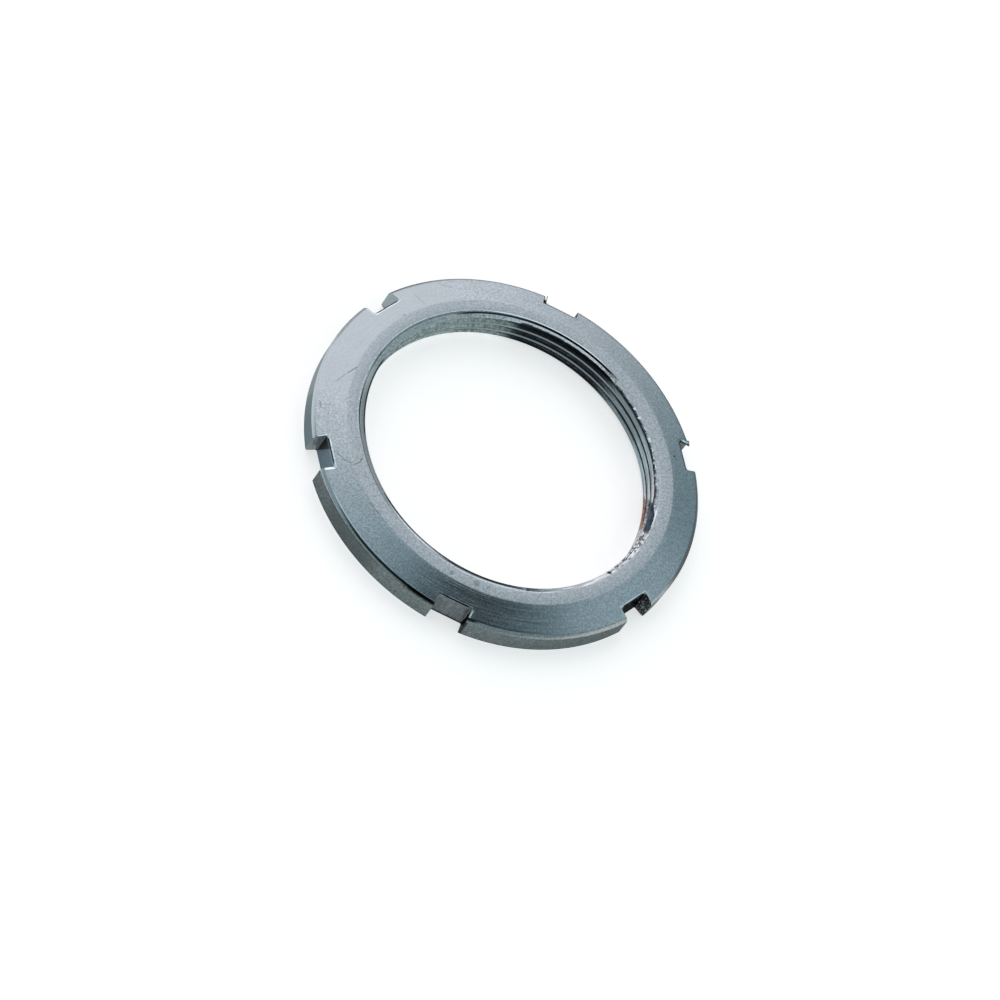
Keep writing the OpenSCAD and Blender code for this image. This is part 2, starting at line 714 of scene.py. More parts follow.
@dataclass(frozen=True)
class EdgeSteel(Steel):
    """The broken edges: the one round the rim, with dark lines on the near side, and the ones at the slots.
    """

    slot_count: int = SLOT_COUNT
    slot_reach: float = 20.15
    slot_half: float = 1.86
    # Painted light on one side and painted shade on the far side.
    pale: Colour = (0.51, 0.57, 0.605)
    painted_pale_side: Stretch = Stretch(170.0, 26.0, 8.0, 0.9)
    painted_shade_side: Stretch = Stretch(35.0, 75.0, 10.0, 0.8)

    def tint(self, graph: Graph, space: RingSpace) -> Value:
        """Gives the colour, with painted light on one side, painted shade on the far side, and dark beside
        the slots' floors.
        """
        colour = Steel.tint(self, graph, space)
        # Painted light on one side, painted shade on the far side.
        colour = graph.blend(self.painted_pale_side.mask(space), colour, self.pale)
        colour = graph.blend(self.painted_shade_side.mask(space), colour, self.shade(0.13))
        out, side = space.in_slot(self.slot_count)
        at_slot = out.between(self.slot_reach, self.slot_reach - 0.05)
        at_slot = at_slot * side.between(self.slot_half, self.slot_half - 0.05)
        return graph.blend(at_slot * 0.95, colour, self.shade(0.06))


@dataclass(frozen=True)
class MouthSteel(Steel):
    """The burnished shelf at the front mouth of the bore, torn where the thread starts."""

    flat_tone: Colour = (0.44, 0.50, 0.505)
    torn: tuple[Stretch, Stretch] = (Stretch(30.0, 8.0, 4.0), Stretch(90.0, 12.0, 6.0))
    pits: Mottle = Mottle(3.5, 0.54, 0.64, 2.0, 0.7)
    ramp: Stretch = Stretch(31.0, 5.0, 2.0)
    streaks: Streaks = Streaks(9.0, 26.0, 0.46, 0.56)
    streaked: Stretch = Stretch(-46.0, 11.0, 6.0, 0.85)
    dull: Stretch = Stretch(147.0, 50.0, 12.0)
    mottle: Mottle = Mottle(4.0, 0.4, 0.66, 3.0, 0.75)
    mottled: Stretch = Stretch(112.0, 26.0, 10.0, 0.5)
    # Two stretches of painted shade.
    painted_dimming: Stretch = Stretch(180.0, 20.0, 12.0, 0.55)
    shaded: Stretch = Stretch(-76.0, 20.0, 12.0, 0.9)

    def tint(self, graph: Graph, space: RingSpace) -> Value:
        """Gives the colour, pitted where it is torn, streaked on one side, dull on another, and with painted
        shade on two stretches.
        """
        colour = Steel.tint(self, graph, space)
        torn = graph.math("MAXIMUM", *(stretch.mask(space) for stretch in self.torn))
        pits = self.pits.mask(space)
        colour = graph.blend(torn * pits * 0.7, colour, self.shade(0.2))
        colour = graph.blend(self.ramp.mask(space) * (0.6 + pits * 0.35), colour, self.shade(0.16))
        streaks = self.streaks.mask(space) * self.streaked.mask(space)
        colour = graph.blend(streaks, colour, self.shade(0.1))
        colour = graph.blend(self.dull.mask(space) * (0.75 + pits * 0.15), colour, self.flat_tone)
        mottle = self.mottle.mask(space) * self.mottled.mask(space)
        colour = graph.blend(mottle, colour, self.shade(0.2))
        # Painted shade on two stretches.
        colour = graph.blend(self.painted_dimming.mask(space), colour, self.shade(0.25))
        return graph.blend(self.shaded.mask(space), colour, self.shade(0.62))


@dataclass(frozen=True)
class ThreadSteel(Steel):
    """The thread of the bore, with dirt and painted shade in its roots, darkened crests, painted light and
    painted shade round the bore, and a patch of heat tint.
    """

    crest_r: float = BORE_R
    shade_and_dirt: Colour = (0.03, 0.035, 0.04)
    rust: Colour = (0.26, 0.135, 0.07)
    brown: Colour = (0.11, 0.062, 0.05)
    mauve: Colour = (0.10, 0.09, 0.13)
    pale_blue: Colour = (0.32, 0.37, 0.44)
    blue: Colour = (0.012, 0.035, 0.046)
    flat_tone: tuple[Colour, Colour] = ((0.37, 0.42, 0.41), (0.88, 0.96, 0.94))
    flat_tone_crest: Colour = (0.24, 0.27, 0.265)
    torn: Mottle = Mottle(3.0, 0.36, 0.64, 3.0, 0.7)
    dull_side: Stretch = Stretch(110.0, 32.0, 8.0, 0.9)
    # Where painted shade falls, and the middle of a painted dark reflection on the flanks.
    painted_shade_side: Stretch = Stretch(13.0, 6.0, 10.0, 0.55)
    black_middle: float = 54.5
    streaks: Streaks = Streaks(10.0, 9.0, 0.35, 0.65)
    # Where painted light falls on the flanks.
    painted_bright_side: Stretch = Stretch(-66.0, 30.0, 3.0)
    painted_lighter_sides: tuple[Stretch, Stretch] = (Stretch(-10.0, 12.0, 8.0, 0.3), Stretch(2.0, 4.0, 7.0, 0.35))
    dashes: Streaks = Streaks(7.0, 30.0, 0.5, 0.58, 2.0, True)
    dashed: Stretch = Stretch(-46.0, 9.0, 5.0, 0.8)
    # The roots' dirt and painted shade: wider on one stretch, lighter on another.
    wider_roots: Stretch = Stretch(8.0, 12.0, 12.0, 0.07)
    lighter_roots: Stretch = Stretch(112.0, 30.0, 8.0, 0.7)
    matt: Stretch = Stretch(112.0, 30.0, 10.0, 0.25)
    spots: Mottle = Mottle(2.6, 0.4, 0.6)
    stain_middle: float = -27.5
    streak_depth: float = 0.006

    def tint(self, graph: Graph, space: RingSpace) -> Value:
        """Gives the colour, with dirt and painted shade in the roots, a painted dark reflection and painted
        shade on one side, painted light on two others, and stained at one place.
        """
        colour = Steel.tint(self, graph, space)
        crest = space.radius.between(self.crest_r + 0.05, self.crest_r + 0.02)
        colour = graph.blend(crest * 0.75, colour, self.shade(0.4))
        torn = self.torn.mask(space)
        dull = graph.blend(torn, self.flat_tone[0], self.flat_tone[1])
        dull = graph.blend(crest * 0.8, dull, self.flat_tone_crest)
        colour = graph.blend(self.dull_side.mask(space), colour, dull)
        # Painted shade on one stretch.
        colour = graph.blend(self.painted_shade_side.mask(space), colour, self.shade(0.45))
        # A painted dark reflection on the flanks of one side.
        waver = (graph.noise(space.place, 2.0, 2.0) - 0.5) * 8.0
        off = abs(space.bearing() + waver - self.black_middle)
        black = off.between(20.5, 18.5) * (1.0 - crest * 0.75) * (0.26 + torn * 0.38)
        colour = graph.blend(black, colour, self.shade_and_dirt)
        # Painted light on the flanks of two sides.
        pale = graph.blend(self.streaks.mask(space), self.shade(0.75), self.shade(1.45))
        wide, narrow = (side.mask(space) for side in self.painted_lighter_sides)
        colour = graph.blend(wide + narrow, colour, pale)
        light = self.painted_bright_side.mask(space)
        colour = graph.blend(light * (1.0 - crest * 0.8), colour, pale)
        dashes = self.dashes.mask(space) * self.dashed.mask(space)
        colour = graph.blend(dashes, colour, self.shade_and_dirt)
        # Dirt and painted shade in the roots.
        root = self.roots(graph, space) * (1.0 - light)
        return self.stained(graph, space, graph.blend(root * 0.9, colour, self.shade_and_dirt))

    def roots(self, graph: Graph, space: RingSpace) -> Value:
        """Gives 1 in the roots of the thread, for their dirt and painted shade, and less on one side."""
        depth = space.radius + (graph.noise(space.lap(2.0, 14.0, True), 1.0, 3.0) - 0.5) * 0.15
        depth = depth + self.wider_roots.mask(space)
        root = depth.between(self.crest_r + 0.2, self.crest_r + 0.36)
        return root * (1.0 - self.lighter_roots.mask(space))

    def stained(self, graph: Graph, space: RingSpace, colour: Value) -> Value:
        """Lays the heat tint over the colour, askew: blue at the mouth, then mauve, then rust below."""
        waver = graph.noise(space.place, 1.5, 3.0) - 0.5
        spots = self.spots.mask(space)
        east = space.bearing() - self.stain_middle
        high = space.height + waver * 0.9 + east * 0.06
        rust = graph.blend(spots, self.rust, self.brown)
        mauve = graph.blend(spots, self.mauve, self.pale_blue)
        blue = graph.blend(spots * 0.35, self.blue, self.mauve)
        hue = graph.blend(high.between(1.3, 1.7), rust, mauve)
        hue = graph.blend(high.between(2.2, 2.5), hue, blue)
        off = abs(east + waver * 7.0 - (2.8 - space.height) * 3.2)
        return graph.blend(off.between(8.2, 5.6) * 0.95, colour, hue)

    def gloss(self, graph: Graph, space: RingSpace) -> Value:
        """Gives the roughness, matt on the dull side."""
        return Steel.gloss(self, graph, space) + self.matt.mask(space)

    def relief(self, graph: Graph, space: RingSpace) -> Value:
        """Gives the normal, with streaks that run along the thread."""
        streaks = graph.noise(space.lap(9.0, 12.0, True), 1.0, 3.0)
        return self.bumped(graph, streaks, self.streak_depth)


class Zone(Enum):
    """The surfaces of the ring that each have a finish of their own."""

    FRONT = 0
    RIM = 1
    SLOT = 2
    MOUTH = 3
    BORE = 4
    BACK = 5
    EDGE = 6
    WALL = 7
    BURR = 8


CHIPPED_CORNER: tuple[Mark, ...] = (
    Scratch(-1.0, (65.4, 20.2), (65.45, 21.2), 0.15, 0.02),
    Scratch(0.95, (65.3, 19.85), (65.95, 21.15), 0.07, 0.02),
)
FRONT_MARKS: tuple[Mark, ...] = (
    Scratch(0.25, (156.0, 19.45), (151.5, 18.56), 0.06),
    Scratch(0.65, (151.7, 18.6), (147.4, 17.75)),
    Scratch(0.3, (181.0, 19.4), (186.5, 18.0), 0.12, 0.5),
    Scratch(0.5, (186.5, 18.0), (184.0, 16.65), 0.11, 0.5),
    Scratch(0.4, (200.0, 18.2), (206.0, 18.0)),
    Scratch(0.35, (163.0, 20.6), (166.0, 20.3), 0.12),
    Scratch(0.18, (100.0, 20.6), (95.5, 19.6), 0.06),
    Scratch(0.2, (109.1, 19.9), (108.5, 18.1), 0.07),
    Speck(0.35, 118.0, 17.95, 0.22),
    Speck(0.9, -98.4, 18.42, 0.13),
    Speck(1.0, -1.5, 18.55, 0.17),
    # Painted highlights along the two edges of one slot.
    Scratch(-1.0, (185.25, 20.85), (185.7, 19.75), 0.17, 0.1),
    Scratch(-0.9, (174.7, 20.8), (174.5, 19.8), 0.1, 0.1),
    Speck(0.3, -124.5, 17.35, 0.35),
    Speck(0.4, -115.5, 17.15, 0.5),
    Speck(0.25, -111.0, 17.2, 0.35),
    # A painted highlight along a slot's edge, with a dark line beside it.
    Scratch(-1.0, (-114.7, 20.85), (-114.3, 19.85), 0.13, 0.05),
    Scratch(0.8, (-113.9, 20.85), (-113.5, 19.9), 0.07, 0.05),
    # Painted highlights round the land's inner edge.
    Band(-0.9, 16.60, 16.71, 44.0, 80.0, 10.0),
    Band(-0.4, 16.61, 16.70, 88.0, 172.0, broken=0.42),
    Band(-0.6, 16.46, 16.54, -128.0, -90.0, 6.0, broken=0.4),
    Band(-0.85, 15.70, 16.10, -26.0, 6.0, 14.0, waver=0.2, broken=0.6),
    Band(0.95, 15.70, 16.04, -26.0, 31.0, 2.0, waver=0.3, broken=-0.5),
    Band(0.95, 15.70, 16.01, 2.0, 34.0, 5.0, waver=0.3),
    # A painted highlight along the rim's edge on the near side.
    Band(-0.5, 20.79, 20.87, -164.0, -126.0, 6.0),
    Band(0.85, 20.79, 20.90, -114.0, -102.0, 6.0),
    # A painted highlight along a slot's edge.
    Scratch(-1.0, (5.0, 20.25), (4.3, 21.1), 0.16, 0.02),
    *CHIPPED_CORNER,
)
EDGE_MARKS: tuple[Mark, ...] = (
    Band(0.95, 20.94, 20.99, -160.0, -124.0, 6.0, 0.02, 0.03),
    Band(0.95, 20.93, 21.055, -153.0, -124.0, 7.0, 0.02, 0.03),
    Band(0.95, 20.93, 21.10, -132.0, -125.0, 4.0, 0.02, 0.03),
    Band(0.95, 20.80, 21.03, -115.0, -113.4, 2.0),
    *CHIPPED_CORNER,
)
RIM_MARKS: tuple[Mark, ...] = (Band(0.85, 21.0, 21.4, -115.6, -114.7, 0.6),)
MOUTH_MARKS: tuple[Mark, ...] = (
    Band(0.97, 16.38, 16.55, 40.0, 94.0, 7.0, 0.02, 0.03, -0.0022),
    Band(0.95, 15.50, 16.12, 37.0, 72.0, 2.0, 0.04, 0.3),
    Band(0.75, 16.40, 16.47, 137.0, 200.0, 5.0, 0.02, 0.03),
    Band(0.85, 15.50, 15.98, 140.0, 172.0, 4.0),
    Band(0.95, 15.50, 16.03, -158.0, -128.0, 6.0, 0.03, 0.05),
    Band(0.95, 15.50, 16.25, -126.0, -100.0, 12.0, 0.04, 0.04),
)
BORE_MARKS: tuple[Mark, ...] = (
    Band(0.95, 15.50, 16.60, -150.0, -104.0, 12.0),
    Band(0.9, 15.97, 16.05, -60.0, -35.0, 4.0, 0.02, 0.06, broken=0.42),
    Band(0.6, 16.20, 16.25, -50.0, -35.0, 3.0, 0.02, 0.05, broken=0.45),
    # Painted shadow under the torn front edge of the thread.
    Band(0.95, 16.07, 16.60, -24.0, 33.0, 3.0, 0.03, 0.14, 0.0045),
    Speck(1.0, -60.7, 16.06, 0.32),
)
FINISHES: dict[Zone, Steel] = {
    Zone.FRONT: TurnedSteel("turned_front", (0.44, 0.535, 0.59), 0.22, 0.4, marks=FRONT_MARKS, dark=0.15),
    # The rim's dark colour is partly a painted dark reflection.
    Zone.RIM: RimSteel("dark_rim", (0.165, 0.196, 0.198), 0.4, grazing=0.5, marks=RIM_MARKS),
    Zone.SLOT: MilledSteel("milled_floors", (0.17, 0.195, 0.205), 0.34, grazing=0.1),
    Zone.MOUTH: MouthSteel("bore_mouth", (0.66, 0.79, 0.86), 0.13, marks=MOUTH_MARKS, dark=0.03),
    Zone.BORE: ThreadSteel("cut_thread", (0.44, 0.51, 0.54), 0.13, grazing=0.6, marks=BORE_MARKS, dark=0.04),
    Zone.BACK: TurnedSteel("turned_back", (0.44, 0.535, 0.59), 0.3, 0.4),
    Zone.EDGE: EdgeSteel("broken_edge", (0.43, 0.48, 0.49), 0.2, grazing=0.5, marks=EDGE_MARKS, dark=0.05),
    Zone.WALL: WallSteel("milled_walls", (0.20, 0.225, 0.23), 0.3, grazing=0.2),
    # The burrs, but for one bright top, are near black as painted shade along their sides.
    Zone.BURR: Steel("burrs", (0.03, 0.034, 0.036), 0.4, grazing=0.2),
}


@dataclass(frozen=True)
class Burr:
    """A sliver of steel that a cutter left standing, from a foot to a tip, in mm."""

    foot: tuple[float, float, float]
    tip: tuple[float, float, float]
    width: float = 0.16
    tip_width: float = 0.08
    thickness: float = 0.12
    bright_top: bool = False

    def raise_up(self) -> bpy.types.Object:
        """Makes the sliver from a block, drawn out and tapered, and lays it in its place.

        Returns:
            The sliver.
        """
        foot, tip = Vector(self.foot) * MM, Vector(self.tip) * MM
        length = (tip - foot).length
        bpy.ops.object.select_all(action="DESELECT")
        bpy.ops.mesh.primitive_cube_add(size=1.0)
        sliver = bpy.context.active_object
        with editing(sliver):
            bpy.ops.mesh.select_all(action="SELECT")
            bpy.ops.transform.resize(value=(length, self.width * MM, self.thickness * MM))
            bpy.ops.transform.translate(value=(length / 2, 0.0, 0.0))
            pick(sliver, Pick.VERTS, lambda at, _: at.x > length / 2)
            taper = (1.0, self.tip_width / self.width, 0.7)
            bpy.ops.transform.resize(value=taper, center_override=(length, 0.0, 0.0))
            bpy.ops.mesh.select_all(action="SELECT")
            bpy.ops.mesh.bevel(offset=self.thickness * 0.15 * MM, segments=2)
        sliver.rotation_euler = (tip - foot).to_track_quat("X", "Z").to_euler()
        sliver.location = foot
        bpy.ops.object.transform_apply(location=True, rotation=True, scale=True)
        return sliver

    def near(self, at: Vector) -> bool:
        """Says whether a place is on the sliver."""
        foot, tip = Vector(self.foot) * MM, Vector(self.tip) * MM
        along = max(0.0, min(1.0, (at - foot).dot(tip - foot) / (tip - foot).length_squared))
        reach = max(self.width + (self.tip_width - self.width) * along, self.thickness) * 0.75 * MM
        return (at - foot.lerp(tip, along)).length < reach


@dataclass(frozen=True)
class Tear:
    """A stretch of the thread's front edge, between two bearings, drawn inwards and left rough, in mm."""

    start: float
    end: float
    lip: float
    rough: float
    soft: float = 4.0

    def share(self, bearing: float) -> float:
        """Says how much of the tear there is at a bearing, from 0 to 1."""
        return max(0.0, min(1.0, (bearing - self.start) / self.soft, (self.end - bearing) / self.soft))


@dataclass(frozen=True)
class Corner:
    """A corner of the ring's half section in mm, and the radius that it is rounded to."""

    radius: float
    height: float
    rounding: float


@dataclass
class Lockring:
    """The ring nut, with its sizes in mm as the CAD part has them."""

    bore_r: float = BORE_R
    back_chamfer: float = 0.5
    rim_r: float = 21.2
    foot_chamfer: float = 0.15
    rim_top: float = 2.268
    bevel_r: float = 20.9
    bevel_z: float = 2.696
    land_r: float = 17.9
    thickness: float = 3.5
    mouth_r: float = 16.58
    recess_r: float = 16.41
    recess_z: float = 3.355
    recess_fall: float = 0.06
    slot_count: int = SLOT_COUNT
    slot_width: float = SLOT_WIDTH
    slot_floor: float = SLOT_FLOOR
    slot_corner: float = 0.12
    edge_wear: float = 0.08
    floor_wear: float = 0.18
    pitch: float = 1.0583
    thread_depth: float = 0.64
    root_flat: float = 0.057
    groove_z: float = 0.0277
    facets: int = 360
    tap_steps: int = 540
    tap_turns: int = 6
    arc_step: float = math.radians(12.0)
    straight_step: float = 0.6
    cutter_over: float = 1.0
    cutter_height: float = 8.0
    tap_over: float = 0.2
    flank_angle: float = math.radians(30.0)
    wear_angle: float = math.radians(40.0)
    smooth_angle: float = math.radians(30.5)
    hair: float = 0.01
    tear_seed: int = 7
    level: float = 0.93
    burrs: tuple[Burr, ...] = (
        Burr((8.389, 18.156, 2.93), (8.906, 19.073, 2.66), 0.07, 0.06, 0.1),
        Burr((19.92, 1.80, 2.84), (21.1, 1.58, 2.50), 0.08, 0.66, 0.2, bright_top=True),
        Burr((19.88, 1.62, 2.86), (19.98, 1.42, 2.88), 0.07, 0.06, 0.06),
    )
    tears: tuple[Tear, ...] = (
        Tear(-28.0, -6.0, 0.18, 0.08),
        Tear(-10.0, 14.0, 0.08, 0.08),
        Tear(10.0, 34.0, 0.0, 0.08),
        Tear(34.0, 76.0, 0.02, 0.012),
        Tear(76.0, 100.0, 0.0, 0.05),
    )
    run_out: float = 0.14
    run_out_fade: float = 10.0
    true_mouth: tuple[float, float] = (100.0, 68.0)
    uncut_mouth: tuple[float, float] = (3.0, 27.0)
    uncut_fade: float = 5.0

    def corners(self) -> list[Corner]:
        """Lists the corners of the half section, from the bore's back chamfer round the outside."""
        return [
            Corner(self.bore_r, self.back_chamfer, 0.0),
            Corner(self.bore_r + self.back_chamfer, 0.0, 0.05),
            Corner(self.rim_r - self.foot_chamfer, 0.0, 0.05),
            Corner(self.rim_r, self.foot_chamfer, 0.05),
            Corner(self.rim_r, self.rim_top, 0.08),
            Corner(self.bevel_r, self.bevel_z, 0.12),
            Corner(self.land_r, self.thickness, 0.5),
            Corner(self.mouth_r, self.thickness, 0.06),
            Corner(self.recess_r, self.recess_z, 0.0),
            Corner(self.bore_r, self.recess_z - self.recess_fall, 0.0),
        ]

    def section(self) -> list[Vector]:
        """Rounds the corners of the section.

        Returns:
            Its points as radius and height in metres, in order.
        """
        corners = self.corners()
        points = []
        for i, corner in enumerate(corners):
            here = Vector((corner.radius, corner.height))
            before, after = corners[i - 1], corners[(i + 1) % len(corners)]
            back = (Vector((before.radius, before.height)) - here).normalized()
            ahead = (Vector((after.radius, after.height)) - here).normalized()
            turn = math.pi - back.angle(ahead)
            steps = max(1, math.ceil(turn / self.arc_step))
            if corner.rounding == 0.0:
                points.append(here * MM)
                continue
            reach = corner.rounding * math.tan(turn / 2)
            centre = here + (back + ahead).normalized() * corner.rounding / math.cos(turn / 2)
            arm = here + back * reach - centre
            side = math.copysign(1.0, arm.x * ahead.y - arm.y * ahead.x)
            for step in range(steps + 1):
                points.append((centre + Matrix.Rotation(side * turn * step / steps, 2) @ arm) * MM)
        return self.stepped(points)

    def stepped(self, points: list[Vector]) -> list[Vector]:
        """Splits the long straight stretches of a closed outline into steps."""
        out = []
        for here, there in zip(points, points[1:] + points[:1]):
            steps = max(1, round((there - here).length / (self.straight_step * MM)))
            out += [here.lerp(there, step / steps) for step in range(steps)]
        return out

    def turn_blank(self) -> bpy.types.Object:
        """Turns the plain ring: a circle, extruded from point to point of the section and closed.

        Returns:
            The blank.
        """
        points = self.section()
        bpy.ops.object.select_all(action="DESELECT")
        bpy.ops.mesh.primitive_circle_add(vertices=self.facets, radius=points[0].x, fill_type="NOTHING")
        ring = bpy.context.active_object
        ring.name = "lockring_finished"
        with editing(ring):
            bpy.ops.mesh.select_all(action="SELECT")
            bpy.ops.transform.translate(value=(0.0, 0.0, points[0].y))
            for here, there in zip(points, points[1:] + points[:1]):
                lift = {"value": (0.0, 0.0, there.y - here.y)}
                bpy.ops.mesh.extrude_region_move(TRANSFORM_OT_translate=lift)
                growth = there.x / here.x
                bpy.ops.transform.resize(value=(growth, growth, 1.0), center_override=(0.0, 0.0, 0.0))
            bpy.ops.mesh.select_all(action="SELECT")
            bpy.ops.mesh.remove_doubles(threshold=0.001 * MM)
            bpy.ops.mesh.normals_make_consistent(inside=False)
        return ring

    def mill_slots(self, ring: bpy.types.Object) -> None:
        """Mills the spanner slots with one block, copied round the rim, and breaks their edges."""
        depth = self.rim_r - self.slot_floor + self.cutter_over
        middle = (self.slot_floor + depth / 2) * MM
        bpy.ops.mesh.primitive_cube_add(size=1.0, location=(0.0, 0.0, 0.0))
        cutter = bpy.context.active_object
        with editing(cutter):
            bpy.ops.mesh.select_all(action="SELECT")
            bpy.ops.transform.resize(value=(depth * MM, self.slot_width * MM, self.cutter_height * MM))
            bpy.ops.transform.translate(value=(middle, 0.0, self.thickness / 2 * MM))
            pick(cutter, Pick.EDGES, lambda at, _: at.x < middle - 0.1 * MM and abs(at.y) > 1.0 * MM)
            bpy.ops.mesh.bevel(offset=self.slot_corner * MM, segments=3)
            bpy.ops.mesh.select_all(action="SELECT")
            for _ in range(self.slot_count - 1):
                bpy.ops.mesh.duplicate()
                turn = math.tau / self.slot_count
                bpy.ops.transform.rotate(value=turn, orient_axis="Z", center_override=(0.0, 0.0, 0.0))
        cut_away(ring, cutter)
        with editing(ring):
            pick(ring, Pick.EDGES, lambda at, _: self.on_floor_edge(at / MM))
            bpy.ops.mesh.bevel(offset=self.floor_wear * MM, segments=4)
        limit = {"limit_method": "ANGLE", "angle_limit": self.wear_angle}
        finish_with(ring, "BEVEL", width=self.edge_wear * MM, segments=3, **limit)

    def on_floor_edge(self, at: Vector) -> bool:
        """Says whether a place in mm is on the front edge of a slot's floor."""
        step = math.tau / self.slot_count
        turned = (math.atan2(at.y, at.x) + step / 2) % step - step / 2
        radius = at.to_2d().length
        out, side = radius * math.cos(turned), abs(radius * math.sin(turned))
        half = self.slot_width / 2 - self.slot_corner + self.hair
        return abs(out - self.slot_floor) < self.hair and side < half and at.z > self.bevel_z

    def foot_r(self, bearing: float) -> float:
        """Gives the radius of the foot of the recess's wall at a bearing."""
        middle, half = self.true_mouth
        past = (abs(bearing - middle) % 360.0 - half) / self.run_out_fade
        return self.recess_r - self.run_out * max(0.0, min(1.0, past))

    def shelf_z(self, bearing: float, radius: float) -> float:
        """Gives the height of the recess's floor, which comes up to the land where it wasn't cut."""
        middle, half = self.uncut_mouth
        uncut = max(0.0, min(1.0, (half + self.uncut_fade - abs(bearing - middle)) / self.uncut_fade))
        foot = self.foot_r(bearing)
        low = self.recess_z - self.recess_fall * (foot - radius) / (foot - self.bore_r)
        return low + (self.thickness - self.hair - low) * uncut

    def run_out_of_true(self, ring: bpy.types.Object) -> None:
        """Moves the recess off centre, and brings its floor up to the land where it wasn't cut."""
        with editing(ring):
            mesh = bmesh.from_edit_mesh(ring.data)
            for vert in mesh.verts:
                radius, height = vert.co.to_2d().length / MM, vert.co.z / MM
                if radius > self.mouth_r + 0.06 or height < self.recess_z - self.recess_fall - self.hair:
                    continue
                bearing = math.degrees(math.atan2(vert.co.y, vert.co.x))
                foot = self.foot_r(bearing)
                share = min(1.0, (radius - self.bore_r) / (self.recess_r - self.bore_r))
                moved = radius - (self.recess_r - foot) * share
                if radius < self.mouth_r:
                    vert.co.z = max(height, self.shelf_z(bearing, min(moved, foot))) * MM
                vert.co.x *= moved / radius
                vert.co.y *= moved / radius
            bmesh.update_edit_mesh(ring.data)

    def tear_crest(self, ring: bpy.types.Object) -> None:
        """Tears the front edge of the thread, where the tap broke through the shelf."""
        dice = random.Random(self.tear_seed)
        with editing(ring):
            mesh = bmesh.from_edit_mesh(ring.data)
            for vert in mesh.verts:
                radius = vert.co.to_2d().length / MM
                bearing = math.degrees(math.atan2(vert.co.y, vert.co.x))
                off_shelf = abs(vert.co.z / MM - self.shelf_z(bearing, radius))
                if radius > self.foot_r(bearing) - 0.02 or off_shelf > self.hair:
                    continue
                for tear in self.tears:
                    share = tear.share(bearing)
                    growth = 1.0 - share * (tear.lip + dice.uniform(-1.0, 1.0) * tear.rough) / radius
                    vert.co.x *= growth
                    vert.co.y *= growth
                    vert.co.z += share * dice.uniform(-0.6, 0.4) * tear.rough * MM
            bmesh.update_edit_mesh(ring.data)

    def leave_burrs(self, ring: bpy.types.Object) -> None:
        """Joins the burrs to the ring."""
        for burr in self.burrs:
            sliver = burr.raise_up()
            finish_with(ring, "BOOLEAN", object=sliver, operation="UNION", solver="EXACT")
            bpy.data.objects.remove(sliver)

    def cut_thread(self, ring: bpy.types.Object) -> None:
        """Taps the bore: the groove's section, wound up the axis as a left-hand screw, is cut away."""
        root = self.bore_r + self.thread_depth
        inner = self.bore_r - self.tap_over
        mouth = self.root_flat + 2.0 * (root - inner) * math.tan(self.flank_angle)
        bpy.ops.mesh.primitive_plane_add(size=1.0)
        tap = bpy.context.active_object
        low = self.groove_z - 2.0 * self.pitch
        with editing(tap):
            bpy.ops.mesh.select_all(action="SELECT")
            bpy.ops.transform.rotate(value=math.pi / 2, orient_axis="X", center_override=(0.0, 0.0, 0.0))
            bpy.ops.transform.resize(value=((root - inner) * MM, 1.0, mouth * MM))
            bpy.ops.transform.translate(value=((root + inner) / 2 * MM, 0.0, low * MM))
            pick(tap, Pick.VERTS, lambda at, _: at.x > (root + inner) / 2 * MM)
            taper = self.root_flat / mouth
            bpy.ops.transform.resize(value=(1.0, 1.0, taper), center_override=(root * MM, 0.0, low * MM))
            bpy.ops.mesh.select_all(action="SELECT")
            bpy.ops.mesh.delete(type="ONLY_FACE")
        finish_with(
            tap,
            "SCREW",
            axis="Z",
            angle=-math.tau,
            screw_offset=self.pitch * MM,
            iterations=self.tap_turns,
            steps=self.tap_steps,
            render_steps=self.tap_steps,
        )
        with editing(tap):
            bpy.ops.mesh.select_all(action="SELECT")
            bpy.ops.mesh.fill_holes(sides=0)
            bpy.ops.mesh.select_all(action="SELECT")
            bpy.ops.mesh.normals_make_consistent(inside=False)
        cut_away(ring, tap)

    def zone_of(self, at: Vector, normal: Vector) -> Zone:
        """Says which surface a face belongs to, from its middle and its normal."""
        radius = at.to_2d().length / MM
        burr = next((burr for burr in self.burrs if burr.near(at)), None)
        if burr:
            return Zone.FRONT if burr.bright_top and normal.z > 0.6 else Zone.BURR
        if radius < self.mouth_r - 0.005:
            if at.z > (self.thickness - 0.03) * MM and normal.z > 0.8:
                return Zone.FRONT
            flat = normal.z > self.level or at.z > (self.recess_z - self.hair) * MM
            return Zone.MOUTH if flat else Zone.BORE
        if normal.z > 0.5:
            return Zone.FRONT if normal.z > self.level else Zone.EDGE
        if normal.z < -0.5:
            return Zone.BACK
        if radius > self.rim_r - 0.12:
            return Zone.RIM
        return Zone.SLOT if normal.to_2d().dot(at.to_2d()) > 0.8 * radius * MM else Zone.WALL

    def dress(self, ring: bpy.types.Object) -> None:
        """Gives each surface its finish, and smooth shading up to the sharp edges."""
        ring.data.materials.clear()
        for zone in Zone:
            ring.data.materials.append(FINISHES[zone].make())
        with editing(ring):
            for zone in Zone:
                pick(ring, Pick.FACES, lambda at, normal: self.zone_of(at, normal) is zone)
                ring.active_material_index = zone.value
                bpy.ops.object.material_slot_assign()
        alone(ring)
        bpy.ops.object.shade_smooth_by_angle(angle=self.smooth_angle)
        finish_with(ring, "WEIGHTED_NORMAL", mode="FACE_AREA", weight=50, keep_sharp=True)

